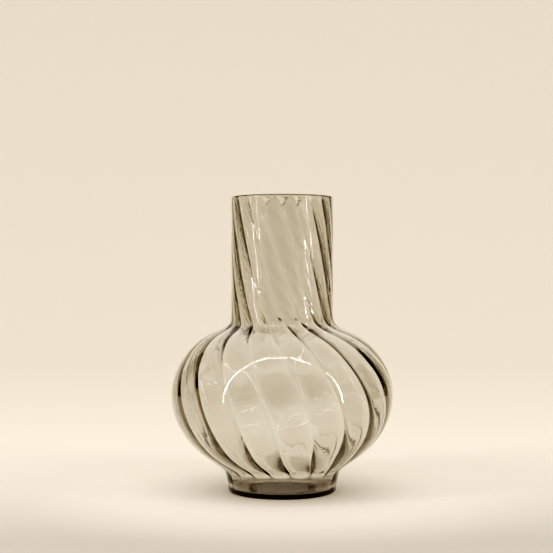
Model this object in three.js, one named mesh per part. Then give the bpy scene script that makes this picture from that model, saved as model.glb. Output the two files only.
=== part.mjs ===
// A table vase blown in smoke-grey glass: a straight wide neck on an oblate bulb on a low foot.
// The glass is one piece. It is divided here, at level planes, into the sections that a glassmaker names:
// base disc, foot wall, bulb, neck and lip. Each section rests face to face on the one below it.
// The outside is smooth. The inside carries broad optic ribs that wind down from the lip to the foot.
// Millimetres, +Z up, origin at the centre of the base on the table.
import * as THREE from "three";

// ---------------------------------------------------------------- driving dimensions
const HEIGHT = 240;
const NECK_RADIUS = 41.8;
const BULB_RADIUS = 90.6;
const BULB_HALF_HEIGHT = 68.8;
const BULB_CENTRE_Z = 78.2;
const FOOT_RADIUS = 43.4;
const FOOT_TOP_RADIUS = 46.5; // the foot widens a little towards the bulb

// Thickness of the glass at a crease, the thinnest line between two ribs.
const NECK_WALL = 1.9;
const BULB_WALL = 1.0;
const FOOT_WALL = 2.0;
const FLOOR_THICKNESS = 3.4;

// Optic ribs: how far the crown of a rib stands in from its creases.
const RIBS = 20;
const NECK_RIB_DEPTH = 0.9;
const BULB_RIB_DEPTH = 1.2;
const LOW_RIB_DEPTH = 2.0; // where the bulb narrows towards the foot
const FOOT_RIB_DEPTH = 0.15;
const LOW_RIB_START = 19;
const LOW_RIB_FULL = 26;
const BELLY_RIB_START = 56;

// The ribs are flat-topped: a flank, this share of a rib's pitch from its crease, is nearly at the crown.
const FLANK = 0.15;
const FLANK_RISE = 0.85;

// The ribs wind clockwise, seen from above, on the way up: evenly in the neck, faster over the shoulder,
// slower and slower down the bulb, and once more by a little into the foot. Heights here count down from
// the lip.
const RIB_START_DEG = -96; // where a crease meets the lip, from +X
const TWIST_DEG_PER_MM = 0.4;
const SHOULDER_TWIST_DEG = 9;
const SHOULDER_TWIST_SPAN = [90, 122];
const TWIST_EASE_START = 119;
const TWIST_EASE_DEG_PER_MM2 = 0.0018;
const FOOT_TWIST_DEG = 8;
const FOOT_TWIST_SPAN = [205, 223];

// Heights of the level planes between the sections.
const BASE_TOP = 8;
const FOOT_TOP = 13;
const SHOULDER_TOP = 141;
const NECK_TOP = 236;

// Above the foot a short fillet leads into the bulb's ellipse, and from it the shoulder leads to the neck.
const FILLET_TOP = 24;
const SHOULDER_START = 106;
const FILLET_FOOT_HANDLE = 3.2;
const FILLET_BULB_HANDLE = 8.5;
const SHOULDER_BULB_HANDLE = 33.8;
const SHOULDER_NECK_HANDLE = 13.7;

// Base: a flat ring to stand on, with the middle pushed up as a low cone of even thickness.
const HOLLOW_RADIUS = 34;
const RING_INNER_RADIUS = 35;
const PUNT_HEIGHT = 6.5;
const PUNT_POWER = 1.3; // 1 is a straight cone, 2 a round dome
const PUNT_SHARES = [0.95, 0.8, 0.5, 0.2, 0];
const BASE_CORNER = 1.6;
const FLOOR_CORNER = 2;

// How finely the surface is cut.
const NECK_STEPS = 6;
const FILLET_STEPS = 4;
const BELLY_STEPS = 9;
const SHOULDER_STEPS = 7;
const CORNER_STEPS = 3;

// ---------------------------------------------------------------- ribs
// How deep the ribs are at a height: all but gone in the foot, deepest just above it.
function ribDepth(z) {
  const { lerp, smoothstep } = THREE.MathUtils;
  const belly = lerp(LOW_RIB_DEPTH, BULB_RIB_DEPTH, smoothstep(z, LOW_RIB_FULL, BELLY_RIB_START));
  const low = lerp(FOOT_RIB_DEPTH, belly, smoothstep(z, LOW_RIB_START, LOW_RIB_FULL));
  return lerp(low, NECK_RIB_DEPTH, smoothstep(z, SHOULDER_START, SHOULDER_TOP));
}

// The columns of points across one rib: crease, flank, crown and flank, as [share of the pitch, rise].
const COLUMNS = [
  [0, 0],
  [FLANK, FLANK_RISE],
  [0.5, 1],
  [1 - FLANK, FLANK_RISE],
];

// The angle of one crease at a height.
function twist(z) {
  const { degToRad, smoothstep } = THREE.MathUtils;
  const down = HEIGHT - z;
  const easing = Math.max(down - TWIST_EASE_START, 0);
  const turned =
    TWIST_DEG_PER_MM * down +
    SHOULDER_TWIST_DEG * smoothstep(down, ...SHOULDER_TWIST_SPAN) -
    TWIST_EASE_DEG_PER_MM2 * easing * easing +
    FOOT_TWIST_DEG * smoothstep(down, ...FOOT_TWIST_SPAN);
  return degToRad(RIB_START_DEG + turned);
}

const SEGMENTS = RIBS * COLUMNS.length;

// ---------------------------------------------------------------- outlines: x is a radius and y is a height
function point(radius, z, ribbed = false) {
  return Object.assign(new THREE.Vector2(radius, z), { ribbed });
}

// The bulb's side from the top of the foot to the bottom of the neck, moved in by the wall given for the
// foot, the bulb and the neck.
function bulbSide(footWall, bulbWall, neckWall) {
  const a = BULB_RADIUS - bulbWall;
  const b = BULB_HALF_HEIGHT - bulbWall;
  const footRadius = FOOT_TOP_RADIUS - footWall;
  const neckRadius = NECK_RADIUS - neckWall;
  const startAngle = Math.asin((FILLET_TOP - BULB_CENTRE_Z) / b);
  const endAngle = Math.asin((SHOULDER_START - BULB_CENTRE_Z) / b);
  const belly = new THREE.EllipseCurve(0, BULB_CENTRE_Z, a, b, startAngle, endAngle);
  const bottom = belly.getPoint(0);
  const top = belly.getPoint(1);
  const upAt = (angle) => point(-a * Math.sin(angle), b * Math.cos(angle)).normalize();

  const fillet = new THREE.CubicBezierCurve(
    point(footRadius, FOOT_TOP),
    point(footRadius, FOOT_TOP + FILLET_FOOT_HANDLE),
    bottom.clone().addScaledVector(upAt(startAngle), -FILLET_BULB_HANDLE),
    bottom,
  );
  const shoulder = new THREE.CubicBezierCurve(
    top,
    top.clone().addScaledVector(upAt(endAngle), SHOULDER_BULB_HANDLE),
    point(neckRadius, SHOULDER_TOP - SHOULDER_NECK_HANDLE),
    point(neckRadius, SHOULDER_TOP),
  );
  return [
    ...fillet.getPoints(FILLET_STEPS),
    ...belly.getPoints(BELLY_STEPS).slice(1),
    ...shoulder.getPoints(SHOULDER_STEPS).slice(1),
  ];
}

// ---------------------------------------------------------------- solids of revolution
// Turns an outline about Z. Ribbed points move in by the rib's depth, and every ring of points is turned
// with the ribs, so that the surface's edges run along creases and crowns.
function revolve(outline) {
  const geometry = new THREE.LatheGeometry(outline, SEGMENTS);
  const position = geometry.getAttribute("position");
  for (let i = 0; i < position.count; i += 1) {
    const { x, y: z, ribbed } = outline[i % outline.length];
    const column = Math.floor(i / outline.length) % SEGMENTS;
    const [share, rise] = COLUMNS[column % COLUMNS.length];
    const radius = ribbed ? x - ribDepth(z) * rise : x;
    const angle = (2 * Math.PI * (Math.floor(column / COLUMNS.length) + share)) / RIBS + twist(z);
    position.setXYZ(i, radius * Math.cos(angle), radius * Math.sin(angle), z);
  }
  geometry.computeVertexNormals();
  return geometry;
}

// A ring of glass between an outer side and a ribbed inner side, both given from the bottom up.
function glassRing(outer, inner) {
  const ribbedInner = inner.map(({ x, y }) => point(x, y, true));
  return revolve([...outer, ...ribbedInner.reverse(), outer[0]]);
}

// ---------------------------------------------------------------- sections
function baseDisc() {
  const inside = FOOT_RADIUS - FOOT_WALL;
  const rise = (share) => PUNT_HEIGHT * (1 - share ** PUNT_POWER);
  const cone = (thickness) => PUNT_SHARES.map((share) => point(HOLLOW_RADIUS * share, thickness + rise(share)));
  const outerCorner = new THREE.QuadraticBezierCurve(
    point(FOOT_RADIUS - BASE_CORNER, 0),
    point(FOOT_RADIUS, 0),
    point(FOOT_RADIUS, BASE_CORNER),
  );
  const floorCorner = new THREE.QuadraticBezierCurve(
    point(inside, FLOOR_THICKNESS + FLOOR_CORNER),
    point(inside, FLOOR_THICKNESS),
    point(inside - FLOOR_CORNER, FLOOR_THICKNESS),
  );
  return revolve([
    ...cone(0).reverse(),
    point(RING_INNER_RADIUS, 0),
    ...outerCorner.getPoints(CORNER_STEPS),
    point(FOOT_RADIUS, BASE_TOP),
    point(inside, BASE_TOP, true),
    ...floorCorner.getPoints(CORNER_STEPS),
    ...cone(FLOOR_THICKNESS),
  ]);
}

function footWall() {
  return glassRing(
    [point(FOOT_RADIUS, BASE_TOP), point(FOOT_TOP_RADIUS, FOOT_TOP)],
    [point(FOOT_RADIUS - FOOT_WALL, BASE_TOP), point(FOOT_TOP_RADIUS - FOOT_WALL, FOOT_TOP)],
  );
}

function bulb() {
  return glassRing(bulbSide(0, 0, 0), bulbSide(FOOT_WALL, BULB_WALL, NECK_WALL));
}

function neck() {
  const side = (radius) =>
    new THREE.LineCurve(point(radius, SHOULDER_TOP), point(radius, NECK_TOP)).getPoints(NECK_STEPS);
  return glassRing(side(NECK_RADIUS), side(NECK_RADIUS - NECK_WALL));
}

// The lip is fire-polished: its edge is round outside and level across the crowns of the ribs.
function lip() {
  const round = NECK_WALL / 2;
  const inside = NECK_RADIUS - NECK_WALL;
  const outerEdge = new THREE.QuadraticBezierCurve(
    point(NECK_RADIUS, HEIGHT - round),
    point(NECK_RADIUS, HEIGHT),
    point(NECK_RADIUS - round, HEIGHT),
  );
  return glassRing(
    [point(NECK_RADIUS, NECK_TOP), ...outerEdge.getPoints(CORNER_STEPS)],
    [point(inside, NECK_TOP), point(inside, HEIGHT - round)],
  );
}

// ---------------------------------------------------------------- assembly
function smokeGlass(shade) {
  return new THREE.MeshStandardMaterial({
    color: shade,
    roughness: 0.04,
    metalness: 0,
    transparent: true,
    opacity: 0.4,
  });
}

const vase = new THREE.Group();
const sections = {
  base_disc: [baseDisc(), 0x6e624e],
  foot_wall: [footWall(), 0x85785f],
  bulb: [bulb(), 0xa4977c],
  neck: [neck(), 0x9a8d72],
  lip: [lip(), 0x9a8d72],
};
for (const [name, [geometry, shade]] of Object.entries(sections)) {
  const mesh = new THREE.Mesh(geometry, smokeGlass(shade));
  mesh.name = name;
  vase.add(mesh);
}

export default vase;
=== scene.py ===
import math

import bmesh
import bpy
from mathutils import Matrix, Vector


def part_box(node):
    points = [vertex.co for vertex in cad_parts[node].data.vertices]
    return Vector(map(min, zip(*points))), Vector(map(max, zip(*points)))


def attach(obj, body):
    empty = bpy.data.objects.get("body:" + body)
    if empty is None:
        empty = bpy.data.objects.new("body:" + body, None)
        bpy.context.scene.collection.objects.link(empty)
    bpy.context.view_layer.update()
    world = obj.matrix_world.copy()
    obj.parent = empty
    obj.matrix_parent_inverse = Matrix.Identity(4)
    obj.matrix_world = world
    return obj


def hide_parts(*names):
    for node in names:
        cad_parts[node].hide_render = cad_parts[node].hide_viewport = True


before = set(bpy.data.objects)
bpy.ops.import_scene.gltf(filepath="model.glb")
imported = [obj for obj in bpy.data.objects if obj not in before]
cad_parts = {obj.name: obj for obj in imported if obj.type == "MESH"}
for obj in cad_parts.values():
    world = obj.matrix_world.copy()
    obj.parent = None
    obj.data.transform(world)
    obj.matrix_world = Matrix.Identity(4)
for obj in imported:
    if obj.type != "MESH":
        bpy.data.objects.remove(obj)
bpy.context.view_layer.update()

# ---------------------------------------------------------------- sizes, in metres, read from the frame
MM = 0.001
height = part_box("lip")[1][2]
neck_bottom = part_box("neck")[0][2]
neck_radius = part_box("neck")[1][0]
foot_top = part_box("foot_wall")[1][2]
base_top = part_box("foot_wall")[0][2]
bulb_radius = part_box("bulb")[1][0]

# The foot's side stands a little straighter than the frame's.
foot_trim = 0.6 * MM
foot_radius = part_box("base_disc")[1][0] + foot_trim
foot_top_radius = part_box("foot_wall")[1][0] - foot_trim
foot_flare = 0.7 * MM            # how much wider the foot is at the top of the base
base_corner = 1.6 * MM
floor_corner = 2 * MM

bulb_half_height = 68.8 * MM
bulb_centre = 78.2 * MM
fillet_top = 24 * MM
belly_start = 56 * MM
shoulder_start = 106 * MM

# Wall thickness at a crease between two ribs, and how far a rib's crown stands in from there.
neck_wall = 1.9 * MM
bulb_wall = 0.95 * MM
foot_wall = 2.0 * MM
floor_thickness = 3.4 * MM
punt = 4.5 * MM                  # how far the middle of the base is pushed up
punt_power = 1.3                 # 1 is a straight cone, 2 a round dome
hollow_radius = 34 * MM
ring_inner_radius = 35.2 * MM
neck_rib = 0.9 * MM
bulb_rib = 1.5 * MM
low_rib = 3.5 * MM
foot_rib = 0.15 * MM
shoulder_gather = 0.9 * MM       # the ribs crowd and deepen where the shoulder meets the neck

# The outside follows the ribs by a little.
bulb_ripple = 0.13 * MM
neck_ripple = 0.6 * MM

RIBS = 20
PER_RIB = 4                      # crease, flank, crown, flank
COLUMNS = RIBS * PER_RIB

# How the ribs wind, in degrees, with heights in millimetres down from the lip.
crease_at_lip = -96
neck_twist = 0.4                 # per millimetre, all the way down
shoulder_twist = 9
shoulder_twist_span = (90, 122)
slowing_start = 119
slowing = 0.0018                 # per square millimetre
foot_twist = 8
foot_twist_span = (205, 223)


# ---------------------------------------------------------------- small helpers
def mix(low, high, share):
    return low + (high - low) * share


def ease(value, low, high):
    share = min(max((value - low) / (high - low), 0.0), 1.0)
    return share * share * (3 - 2 * share)


def bezier(points, steps):
    """Points along a Bezier curve, without its first one."""
    out = []
    for i in range(1, steps + 1):
        layer = [Vector(p) for p in points]
        while len(layer) > 1:
            layer = [a.lerp(b, i / steps) for a, b in zip(layer, layer[1:])]
        out.append((layer[0].x, layer[0].y))
    return out


def start_fresh():
    if bpy.context.object and bpy.context.object.mode != "OBJECT":
        bpy.ops.object.mode_set(mode="OBJECT")
    bpy.ops.object.select_all(action="DESELECT")


# ---------------------------------------------------------------- the vessel's outline and ribs
def crease_angle(z):
    """The angle of one crease at a height: the ribs wind clockwise, seen from above, on the way up."""
    down = (height - z) / MM
    slowed = slowing * max(down - slowing_start, 0) ** 2
    over_shoulder = shoulder_twist * ease(down, *shoulder_twist_span)
    into_foot = foot_twist * ease(down, *foot_twist_span)
    return math.radians(crease_at_lip + neck_twist * down + over_shoulder - slowed + into_foot)


def rib_depth(z):
    """How far a crown stands in from the creases: all but gone in the foot and deepest just above it."""
    belly = mix(low_rib, bulb_rib, ease(z, fillet_top, belly_start))
    low = mix(foot_rib, belly, ease(z, 19.5 * MM, 23.5 * MM))
    gather = shoulder_gather * ease(z, 118 * MM, 132 * MM) * ease(z, 146 * MM, 136 * MM)
    return mix(low, neck_rib, ease(z, shoulder_start, neck_bottom)) + gather


def flank(z):
    """How far a flank is from its crease, as a share of the rib: less where the bulb is wide."""
    low = mix(0.2, 0.17, ease(z, foot_top, belly_start))
    return mix(low, 0.2, ease(z, shoulder_start, neck_bottom))


def flank_rise(z):
    """How far up a flank is on its way to the crown."""
    return mix(0.86, 0.8, ease(z, shoulder_start, neck_bottom))


def ripple_depth(z):
    """How far the outside dips at a crease."""
    return mix(bulb_ripple * ease(z, 20 * MM, 45 * MM), neck_ripple, ease(z, shoulder_start, neck_bottom))


def bulb_side(foot_in, bulb_in, neck_in):
    """The bulb's side, from the bottom up, moved in by a wall at the foot, the bulb and the neck."""
    a = bulb_radius - bulb_in
    b = bulb_half_height - bulb_in
    start = math.asin((fillet_top - bulb_centre) / b)
    end = math.asin((shoulder_start - bulb_centre) / b)

    def on_belly(angle):
        return Vector((a * math.cos(angle), bulb_centre + b * math.sin(angle)))

    def up_belly(angle):
        return Vector((-a * math.sin(angle), b * math.cos(angle))).normalized()

    foot = foot_top_radius - foot_in
    neck = neck_radius - neck_in
    low = on_belly(start)
    high = on_belly(end)
    fillet = bezier([(foot, foot_top), (foot, foot_top + 3.2 * MM), low - up_belly(start) * 8.5 * MM, low], 4)
    belly = [tuple(on_belly(mix(start, end, i / 10))) for i in range(1, 11)]
    above_bulb = high + up_belly(end) * 33.8 * MM
    below_neck = (neck, neck_bottom - 13.7 * MM)
    shoulder = bezier([high, above_bulb, below_neck, (neck, neck_bottom)], 7)
    return [(foot, foot_top)] + fillet + belly + shoulder


def pushed_up(thickness):
    """The middle of the base, from near the centre out, at a thickness above its underside."""
    return [(hollow_radius * t, thickness + punt * (1 - t ** punt_power)) for t in (0.2, 0.5, 0.8, 0.95)]


def neck_side(radius):
    """The neck's side from the bottom up, without its first point and with room left for the lip."""
    return [(radius, mix(neck_bottom, height - 2.4 * MM, i / 6)) for i in range(1, 7)]


def outside():
    corner = base_corner
    round_edge = (foot_radius - 0.35 * corner, 0.25 * corner)
    ring = [(ring_inner_radius, 0.0), (foot_radius - corner, 0.0), round_edge]
    half_way = (foot_radius + 0.3 * MM, (corner + base_top) / 2)
    side = [(foot_radius, corner), half_way, (foot_radius + foot_flare, base_top)]
    return pushed_up(0) + ring + side + bulb_side(0, 0, 0) + neck_side(neck_radius)


def lip():
    """The fire-polished edge, from the outside over to the inside."""
    half = (neck_wall + 0.5 * neck_rib) / 2
    middle = neck_radius - half
    return [(middle + half * math.cos(a), height - half + half * math.sin(a)) for a in (0.6, 1.57, 2.54)]


def inside():
    foot = foot_radius - foot_wall
    floor = floor_thickness
    neck = neck_side(neck_radius - neck_wall)[::-1]
    side = bulb_side(foot_wall, bulb_wall, neck_wall)[::-1]
    corner_start = (foot, floor + floor_corner)
    corner = bezier([corner_start, (foot, floor), (foot - floor_corner, floor)], 3)
    return neck + side + [(foot, base_top), corner_start] + corner + pushed_up(floor)[::-1]


# ---------------------------------------------------------------- modelling
ROUND = {0: 1.0, 1: 1.0, 2: 1.0}    # a ring's size at its creases, flanks and crowns


class Wall:
    """A wall drawn up ring by ring: each ring is extruded from the last, sized, and turned with the ribs."""

    def __init__(self, radius, z):
        start_fresh()
        bpy.ops.mesh.primitive_circle_add(vertices=COLUMNS, radius=radius, location=(0, 0, z))
        self.piece = bpy.context.object
        bpy.ops.object.transform_apply(location=True, rotation=True, scale=True)
        bpy.ops.object.mode_set(mode="EDIT")
        bpy.ops.mesh.select_mode(type="VERT")
        bpy.ops.mesh.select_all(action="SELECT")
        bpy.ops.transform.rotate(value=-crease_angle(z), orient_axis="Z", center_override=(0, 0, 0))
        self.radius = radius
        self.z = z
        self.relief = ROUND
        self.sheet = bmesh.from_edit_mesh(self.piece.data)
        self.flank = 1 / PER_RIB
        self.spread(flank(z), range(COLUMNS))

    def ring(self, radius, z, relief):
        bpy.ops.mesh.extrude_region_move(TRANSFORM_OT_translate={"value": (0, 0, z - self.z)})
        size = radius / self.radius
        bpy.ops.transform.resize(value=(size, size, 1), center_override=(0, 0, 0))
        turn = crease_angle(z) - crease_angle(self.z)
        bpy.ops.transform.rotate(value=-turn, orient_axis="Z", center_override=(0, 0, 0))
        self.radius = radius
        self.z = z
        newest = {v.index for v in self.verts() if v.select}
        self.spread(flank(z), newest)
        for place, share in relief.items():
            size = share / self.relief[place]
            if abs(size - 1) > 1e-9:
                self.select(lambda v: v.index in newest and self.place(v) == place)
                bpy.ops.transform.resize(value=(size, size, 1), center_override=(0, 0, 0))
        self.relief = relief
        self.select(lambda v: v.index in newest)

    def spread(self, share, ring):
        """Turns the flanks of one ring to their distance from the creases."""
        slip = (self.flank - share) * 2 * math.pi / RIBS
        for side, turn in ((1, -slip), (3, slip)):
            self.select(lambda v: v.index in ring and self.column(v) == side)
            bpy.ops.transform.rotate(value=-turn, orient_axis="Z", center_override=(0, 0, 0))
        self.flank = share
        self.select(lambda v: v.index in ring)

    def verts(self):
        self.sheet = bmesh.from_edit_mesh(self.piece.data)
        self.sheet.verts.index_update()
        return self.sheet.verts

    def place(self, vert):
        """0 on a crease, 1 on a flank and 2 on a crown."""
        column = self.column(vert)
        return min(column, PER_RIB - column)

    def column(self, vert):
        """0 on a crease, then 1, 2 and 3 on the way round to the next one."""
        turned = math.atan2(vert.co.y, vert.co.x) - crease_angle(vert.co.z)
        share = turned / (2 * math.pi) * RIBS % 1.0
        return sum(share > edge for edge in (0.04, 0.38, 0.62, 0.96)) % PER_RIB

    def select(self, wanted):
        verts = self.verts()
        for vert in verts:
            vert.select = False
        for edge in self.sheet.edges:
            edge.select = False
        for face in self.sheet.faces:
            face.select = False
        for vert in verts:
            if wanted(vert):
                vert.select = True
        self.sheet.select_flush(True)
        bmesh.update_edit_mesh(self.piece.data)


def glass_vessel():
    """Underside, outside, lip, inside and floor in one closed mesh, creased along the ribs."""
    ribs_end_radius = 30 * MM
    outer = outside()
    rim = lip()
    inner = inside()
    wall = Wall(*outer[0])
    for radius, z in outer[1:]:
        dip = ripple_depth(z) / radius
        wall.ring(radius, z, {0: 1 - dip, 1: 1 - 0.4 * dip, 2: 1.0})
    for radius, z in rim:
        wall.ring(radius, z, ROUND)
    for radius, z in inner:
        rise = rib_depth(z) / radius if radius > ribs_end_radius else 0
        wall.ring(radius, z, {0: 1.0, 1: 1 - flank_rise(z) * rise, 2: 1 - rise})
    bpy.ops.mesh.edge_face_add()
    wall.select(lambda v: v.index < COLUMNS)
    bpy.ops.mesh.edge_face_add()
    inner_start = len(outer) + len(rim)
    wall.select(lambda v: v.index >= inner_start * COLUMNS and wall.place(v) == 0)
    bpy.ops.transform.edge_crease(value=0.6)
    bpy.ops.mesh.select_all(action="SELECT")
    bpy.ops.mesh.remove_doubles(threshold=1e-6)
    bpy.ops.mesh.normals_make_consistent(inside=False)
    bpy.ops.object.mode_set(mode="OBJECT")
    piece = wall.piece
    smooth = piece.modifiers.new("fine surface", "SUBSURF")
    smooth.levels = 2
    smooth.render_levels = 2
    bpy.ops.object.modifier_apply(modifier=smooth.name)
    bpy.ops.object.shade_smooth()
    piece.name = "glass_vessel"
    return piece


# ---------------------------------------------------------------- shaders
class Amount:
    """A number that varies over a surface; Python's operators on it add Math nodes."""

    def __init__(self, bench, socket):
        self.bench = bench
        self.socket = socket

    def _with(self, operation, first, second):
        made = self.bench.node("ShaderNodeMath", {"operation": operation}, {0: first, 1: second})
        return Amount(self.bench, made.outputs[0])

    def __add__(self, other):
        return self._with("ADD", self, other)

    def __mul__(self, other):
        return self._with("MULTIPLY", self, other)

    __radd__ = __add__
    __rmul__ = __mul__


class Bench:
    """A material under construction and the one way to add a node to it."""

    def __init__(self, name):
        self.material = bpy.data.materials.new(name)
        self.material.use_nodes = True
        self.tree = self.material.node_tree
        self.tree.nodes.clear()

    def node(self, kind, settings=None, inputs=None):
        made = self.tree.nodes.new(kind)
        for key, value in (settings or {}).items():
            setattr(made, key, value)
        for key, value in (inputs or {}).items():
            if isinstance(value, Amount):
                value = value.socket
            if isinstance(value, bpy.types.NodeSocket):
                self.tree.links.new(value, made.inputs[key])
            else:
                made.inputs[key].default_value = value
        return made

    def amount(self, socket):
        return Amount(self, socket)

    def between(self, value, start, end, low=0.0, high=1.0):
        """Rises smoothly from low to high as a value goes from start to end."""
        made = self.node("ShaderNodeMapRange", {"interpolation_type": "SMOOTHSTEP"},
                         {"Value": value, "From Min": start, "From Max": end, "To Min": low, "To Max": high})
        return self.amount(made.outputs[0])

    def blend(self, share, first, second):
        """One colour at a share of 0 and another at 1."""
        return self.node("ShaderNodeMix", {"data_type": "RGBA"},
                         {"Factor": share, 6: first, 7: second}).outputs[2]


def smoke_glass():
    """Clear brown-grey glass: slow waves all over, fine ripples in the neck, and painted shade that darkens
    the lip and the base.
    """
    bench = Bench("smoke glass")
    place = bench.node("ShaderNodeTexCoord").outputs["Object"]
    up = bench.node("ShaderNodeSeparateXYZ", None, {"Vector": place}).outputs["Z"]

    waves = bench.node("ShaderNodeTexNoise", None, {"Vector": place, "Scale": 34.0, "Detail": 1.0})
    flatten = bench.node("ShaderNodeMapping", None, {"Vector": place, "Scale": (1.0, 1.0, 1.8)})
    ripples = bench.node("ShaderNodeTexNoise", None,
                         {"Vector": flatten.outputs[0], "Scale": 210.0, "Detail": 1.0})
    in_neck = bench.between(up, shoulder_start, neck_bottom + 10 * MM, low=0.22)
    relief = bench.amount(waves.outputs[0]) * 0.2 + bench.amount(ripples.outputs[0]) * in_neck * 0.16
    bump = bench.node("ShaderNodeBump", None, {"Height": relief, "Strength": 1.0, "Distance": 1.0 * MM})
    film = bench.node("ShaderNodeTexNoise", None, {"Vector": place, "Scale": 60.0, "Detail": 3.0})
    roughness = bench.amount(film.outputs[0]) * 0.012

    # Painted shade: the lip is tinted dark brown to draw the dark line along the rim's edge.
    painted_lip_shade = bench.between(up, height - 1.6 * MM, height - 1.0 * MM)
    flat = bench.node("ShaderNodeVectorMath", {"operation": "MULTIPLY"}, {0: place, 1: (1, 1, 0)})
    out = bench.node("ShaderNodeVectorMath", {"operation": "LENGTH"}, {0: flat.outputs[0]}).outputs["Value"]
    # Painted shade: the middle of the base is tinted dark brown for the shaded table seen through it.
    painted_base_shade = bench.between(out, 38.5 * MM, 36 * MM) * bench.between(up, 13 * MM, 9 * MM)
    glass_tint_and_painted_shade = bench.blend(painted_lip_shade, (0.975, 0.973, 0.967, 1), (0.5, 0.44, 0.35, 1))
    glass_tint_and_painted_shade = bench.blend(painted_base_shade, glass_tint_and_painted_shade, (0.42, 0.35, 0.3, 1))

    skin = bench.node("ShaderNodeBsdfPrincipled", None, {
        "Base Color": glass_tint_and_painted_shade,
        "Roughness": roughness,
        "IOR": 1.5,
        "Transmission Weight": 1.0,
        "Normal": bump.outputs[0],
    })
    depth = bench.node("ShaderNodeVolumeAbsorption", None,
                       {"Color": (0.55, 0.513, 0.412, 1), "Density": 128.0})
    bench.node("ShaderNodeOutputMaterial", None, {"Surface": skin.outputs[0], "Volume": depth.outputs[0]})
    return bench.material


def paper():
    """Cream paper with a fine grain, with painted shade that greys it towards the front and painted light
    that lightens it under the vase.
    """
    bench = Bench("cream paper")
    place = bench.node("ShaderNodeTexCoord").outputs["Object"]
    grain = bench.node("ShaderNodeTexNoise", None, {"Scale": 400.0})
    bump = bench.node("ShaderNodeBump", None, {"Height": grain.outputs[0], "Distance": 0.02 * MM})
    back = bench.node("ShaderNodeSeparateXYZ", None, {"Vector": place}).outputs["Y"]
    # Painted shade: the paper greys towards the front, where the light falls off.
    near = bench.node("ShaderNodeMapRange", None, {
        "Value": back, "From Min": 0.32, "From Max": -0.186, "To Min": 0.0, "To Max": 1.0})
    shade = bench.amount(near.outputs[0])
    away = bench.node("ShaderNodeVectorMath", {"operation": "LENGTH"}, {0: place}).outputs["Value"]
    paper_tone_with_painted_light = bench.blend(shade * shade, (0.855, 0.82, 0.768, 1), (0.555, 0.53, 0.496, 1))
    # Painted light: the paper is lightened near the vase, for light gathered through the glass into its
    # shadow.
    paper_tone_with_painted_light = bench.blend(bench.between(away, 0.24, 0.05), paper_tone_with_painted_light, (0.93, 0.89, 0.83, 1))
    skin = bench.node("ShaderNodeBsdfPrincipled", None, {
        "Base Color": paper_tone_with_painted_light, "Roughness": 0.9, "Specular IOR Level": 0.1, "Normal": bump.outputs[0]})
    bench.node("ShaderNodeOutputMaterial", None, {"Surface": skin.outputs[0]})
    return bench.material


# ---------------------------------------------------------------- the object
vessel = glass_vessel()
vessel.data.materials.append(smoke_glass())
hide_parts("base_disc", "foot_wall", "bulb", "neck", "lip")
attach(vessel, "root")


# ---------------------------------------------------------------- studio
def cove():
    """A round sweep of paper: a flat floor that curves up all round."""
    floor_radius = 1.5
    bend = 1.6
    step = 6.5                  # degrees of the bend
    start_fresh()
    bpy.ops.mesh.primitive_circle_add(vertices=96, radius=floor_radius, fill_type="NGON")
    piece = bpy.context.object
    bpy.ops.object.mode_set(mode="EDIT")
    bpy.ops.mesh.select_all(action="SELECT")
    radius = floor_radius
    z = 0.0
    for i in range(1, 13):
        angle = math.radians(step * i)
        new_radius = floor_radius + bend * math.sin(angle)
        new_z = bend * (1 - math.cos(angle))
        bpy.ops.mesh.extrude_region_move(TRANSFORM_OT_translate={"value": (0, 0, new_z - z)})
        size = new_radius / radius
        bpy.ops.transform.resize(value=(size, size, 1), center_override=(0, 0, 0))
        radius = new_radius
        z = new_z
    bpy.ops.mesh.delete(type="ONLY_FACE")
    bpy.ops.mesh.select_all(action="SELECT")
    bpy.ops.mesh.normals_make_consistent(inside=True)
    bpy.ops.object.mode_set(mode="OBJECT")
    bpy.ops.object.shade_smooth()
    piece.name = "paper_sweep"
    piece.data.materials.append(paper())


cove()

sky = bpy.data.worlds.new("studio")
bpy.context.scene.world = sky
sky.use_nodes = True
sky.node_tree.nodes["Background"].inputs["Color"].default_value = (1.045, 0.973, 0.87, 1)
sky.node_tree.nodes["Background"].inputs["Strength"].default_value = 1.0


def direction(turn, lift):
    """Degrees from -Y towards +X, and up."""
    turn = math.radians(turn)
    lift = math.radians(lift)
    return Vector((math.sin(turn) * math.cos(lift), -math.cos(turn) * math.cos(lift), math.sin(lift)))


def arch():
    """A row of narrow lamps that rises on the left, crosses over in front and comes down on the right."""
    reach = 1.15
    width = 0.022
    upright_glow = 46
    over_glow = 20
    gap = 8                     # the arch is broken here
    stops = [(-61, -3), (-59, 20), (-56, 42), (-48, 61), (-30, 68), (-6, 71), (18, 70), (38, 63), (46, 57),
             (54, 46), (58, 30), (60, 14), (61, -3)]
    path = [direction(*stop) * reach for stop in stops]
    aim = Vector((0, 0, bulb_centre))
    for i, (start, end) in enumerate(zip(path, path[1:])):
        if i == gap:
            continue
        upright = i < 2 or i > 9
        lamp = bpy.data.lights.new("arch lamp %d" % i, "AREA")
        lamp.shape = "RECTANGLE"
        lamp.size = width
        lamp.size_y = (end - start).length
        lamp.energy = (upright_glow if upright else over_glow) * lamp.size * lamp.size_y * math.pi
        lamp.color = (1.0, 0.97, 0.92)
        obj = bpy.data.objects.new(lamp.name, lamp)
        bpy.context.scene.collection.objects.link(obj)
        middle = (start + end) / 2
        z_axis = middle.normalized()
        y_axis = (end - start).normalized()
        x_axis = y_axis.cross(z_axis).normalized()
        y_axis = z_axis.cross(x_axis)
        facing = Matrix((x_axis, y_axis, z_axis)).transposed()
        obj.matrix_world = Matrix.Translation(aim + middle) @ facing.to_4x4()
        obj.visible_camera = False


arch()


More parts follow.
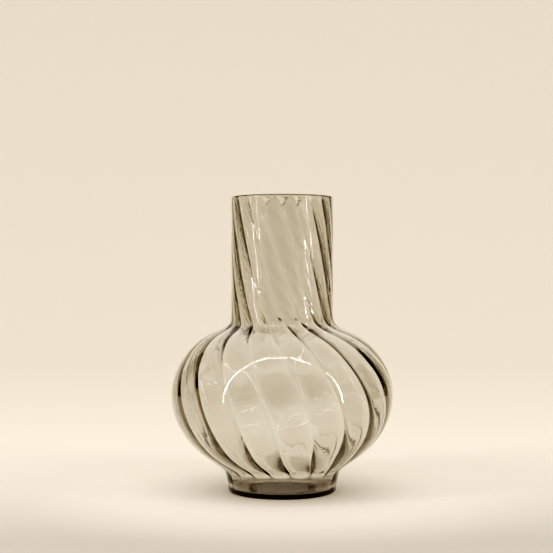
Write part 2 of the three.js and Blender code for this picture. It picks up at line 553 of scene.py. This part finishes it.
def flag(name, turn, width, low, high):
    """A black board, turned from +Y towards -X: only reflections and bent rays meet it."""
    start_fresh()
    turn = math.radians(turn)
    reach = 1.35
    middle = (-reach * math.sin(turn), reach * math.cos(turn), (low + high) / 2)
    bpy.ops.mesh.primitive_plane_add(size=1, rotation=(math.radians(90), 0, turn), location=middle)
    board = bpy.context.object
    board.scale = (2 * reach * math.tan(math.radians(width / 2)), high - low, 1)
    bpy.ops.object.transform_apply(location=True, rotation=True, scale=True)
    board.name = name
    bench = Bench(name)
    skin = bench.node("ShaderNodeBsdfDiffuse", None, {"Color": (0.015, 0.013, 0.011, 1)})
    bench.node("ShaderNodeOutputMaterial", None, {"Surface": skin.outputs[0]})
    board.data.materials.append(bench.material)
    board.visible_camera = False
    board.visible_diffuse = False
    board.visible_shadow = False


# Each board's turn and width in degrees, and its lower and upper edge.
for turn, width, low, high in (
    (54, 16, 0.0, 1.0),
    (80, 8, 0.0, 1.0),
    (-50, 14, 0.0, 1.0),
    (-73, 14, 0.0, 1.0),
    (180, 85, 0.0, 1.6),
):
    flag("flag %d" % turn, turn, width, low, high)

camera = bpy.data.cameras.new("camera")
camera.lens = 78.5
camera.sensor_width = 36
eye = bpy.data.objects.new("camera", camera)
eye.location = (-4.7 * MM, -986.5 * MM, 174.9 * MM)
eye.rotation_euler = (math.radians(90), 0, 0)
bpy.context.scene.collection.objects.link(eye)
bpy.context.scene.camera = eye

# A touch more contrast in the darks, as in a studio print.
view = bpy.context.scene.view_settings
view.view_transform = "Standard"
view.use_curve_mapping = True
view.curve_mapping.black_level = (0.012, 0.015, 0.02)
view.curve_mapping.extend = "EXTRAPOLATED"
all_colours = view.curve_mapping.curves[3]
for spot in ((0.06, 0.012), (0.15, 0.075), (0.3, 0.245), (0.5, 0.485), (0.75, 0.747)):
    all_colours.points.new(*spot)
view.curve_mapping.update()

bpy.context.scene.cycles.max_bounces = 24
bpy.context.scene.cycles.transmission_bounces = 24
bpy.context.scene.cycles.glossy_bounces = 8
bpy.context.scene.cycles.diffuse_bounces = 3
